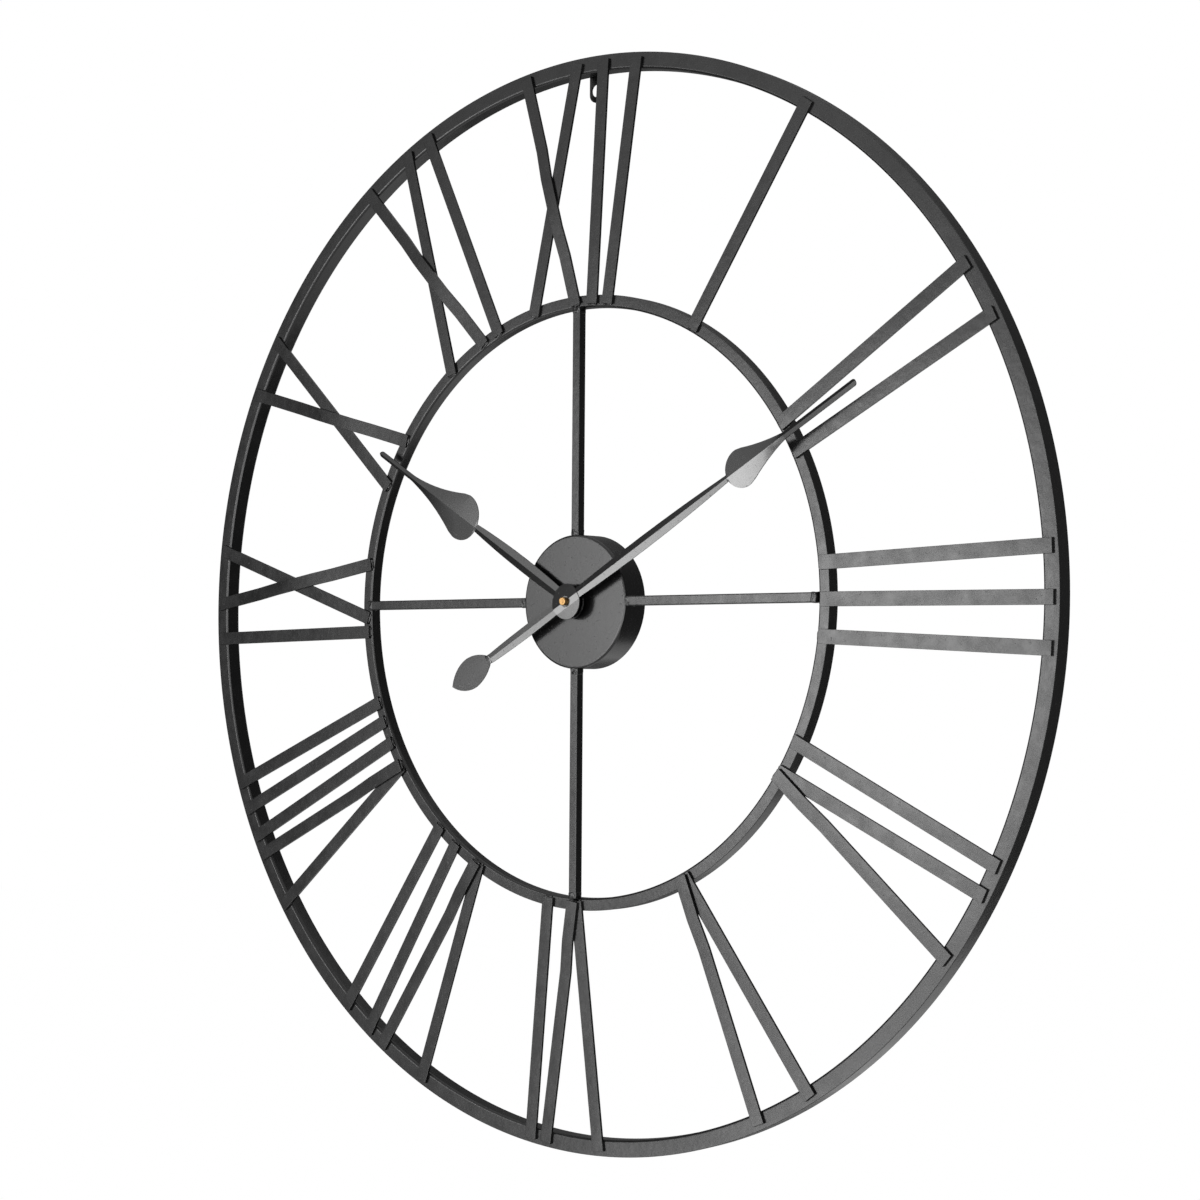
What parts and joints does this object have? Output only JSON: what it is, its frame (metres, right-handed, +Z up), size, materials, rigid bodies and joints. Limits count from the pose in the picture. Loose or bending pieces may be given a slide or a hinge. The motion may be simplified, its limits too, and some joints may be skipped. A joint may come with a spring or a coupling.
{
  "type": "wall clock",
  "caption": "Open-frame round wall clock: two rings joined by Roman numeral strips and spokes, spade hands, and a quartz movement in a hub cup that hangs from a tab.",
  "frame": {"origin": "on the hand axis, in the plane of both rings' front faces, which is the middle of the clock's box", "axes": "+X to the right and +Z up as seen from the front, +Y from the face to the wall"},
  "size_m": [0.8, 0.036, 0.8],
  "materials": {
    "powder_coat": "satin black powder coat on steel, fine grain",
    "cup_coat": "satin charcoal powder coat on pressed steel",
    "hand_coat": "satin black paint on the pressed hands and their riveted bushes",
    "brass": "turned brass",
    "case_plastic": "black moulded plastic, fine spark texture",
    "wheel_plastic": "ivory moulded plastic",
    "gasket_rubber": "black rubber",
    "board": "green circuit board",
    "copper_wire": "enamelled copper winding",
    "plated_steel": "plated steel sheet",
    "battery_jacket": "plain printed jacket over a steel can"
  },
  "bodies": {
    "frame": {"outer_ring": "powder_coat", "inner_ring": "powder_coat", "hanger_tab": "powder_coat", "spoke_12": "powder_coat", "spoke_03": "powder_coat", "spoke_06": "powder_coat", "spoke_09": "powder_coat", "numeral_01": "powder_coat", "numeral_02": "powder_coat", "numeral_03": "powder_coat", "numeral_04": "powder_coat", "numeral_05": "powder_coat", "numeral_06": "powder_coat", "numeral_07": "powder_coat", "numeral_08": "powder_coat", "numeral_09": "powder_coat", "numeral_10": "powder_coat", "numeral_11": "powder_coat", "numeral_12": "powder_coat", "movement_cup": "cup_coat", "movement_case": "case_plastic", "movement_cover": "case_plastic", "train_plate": "wheel_plastic", "threaded_bush": "brass", "rubber_gasket": "gasket_rubber", "fixing_washer": "brass", "fixing_nut": "brass", "circuit_board": "board", "quartz_crystal": "plated_steel", "motor_coil": "copper_wire", "coil_core": "plated_steel", "motor_stator": "plated_steel", "positive_contact": "plated_steel", "negative_contact": "plated_steel"},
    "minute": {"minute_arbor": "brass", "minute_hand": "hand_coat", "minute_hand_bush": "hand_coat", "hand_nut": "brass"},
    "hour": {"hour_wheel": "wheel_plastic", "hour_hand": "hand_coat", "hour_hand_bush": "hand_coat"},
    "setting": {"motion_wheel": "wheel_plastic", "set_knob": "case_plastic"},
    "seconds": {"seconds_wheel": "wheel_plastic"},
    "third": {"third_wheel": "wheel_plastic"},
    "centre": {"centre_wheel": "wheel_plastic"},
    "intermediate": {"intermediate_wheel": "wheel_plastic"},
    "rotor": {"motor_rotor": "wheel_plastic"},
    "battery": {"battery": "battery_jacket"}
  },
  "joints": [
    {"name": "minute_turn", "type": "hinge", "parent": "frame", "child": "minute", "pos_m": [0, 0, 0], "axis": [0, 1, 0], "continuous": true},
    {"name": "hour_turn", "type": "hinge", "parent": "frame", "child": "hour", "pos_m": [0, 0, 0], "axis": [0, 1, 0], "continuous": true},
    {"name": "setting_turn", "type": "hinge", "parent": "frame", "child": "setting", "pos_m": [0.01128, 0, 0.0041], "axis": [0, 1, 0], "continuous": true},
    {"name": "seconds_turn", "type": "hinge", "parent": "frame", "child": "seconds", "pos_m": [0, 0, 0], "axis": [0, 1, 0], "continuous": true},
    {"name": "third_turn", "type": "hinge", "parent": "frame", "child": "third", "pos_m": [-0.00883, 0, 0.0051], "axis": [0, 1, 0], "continuous": true},
    {"name": "centre_turn", "type": "hinge", "parent": "frame", "child": "centre", "pos_m": [0, 0, 0], "axis": [0, 1, 0], "continuous": true},
    {"name": "intermediate_turn", "type": "hinge", "parent": "frame", "child": "intermediate", "pos_m": [0.00272, 0, 0.01014], "axis": [0, 1, 0], "continuous": true},
    {"name": "rotor_turn", "type": "hinge", "parent": "frame", "child": "rotor", "pos_m": [0.00067, 0, 0.01578], "axis": [0, 1, 0], "continuous": true},
    {"name": "battery_slide", "type": "slide", "parent": "frame", "child": "battery", "axis": [0, 1, 0], "range_m": [0, 0.03]}
  ],
  "couplings": [
    {"joint": "hour_turn", "follows": "minute_turn", "ratio": 0.083333},
    {"joint": "setting_turn", "follows": "minute_turn", "ratio": -0.33333},
    {"joint": "third_turn", "follows": "seconds_turn", "ratio": -0.13333},
    {"joint": "centre_turn", "follows": "seconds_turn", "ratio": 0.016667},
    {"joint": "intermediate_turn", "follows": "seconds_turn", "ratio": -6},
    {"joint": "rotor_turn", "follows": "seconds_turn", "ratio": 30}
  ]
}
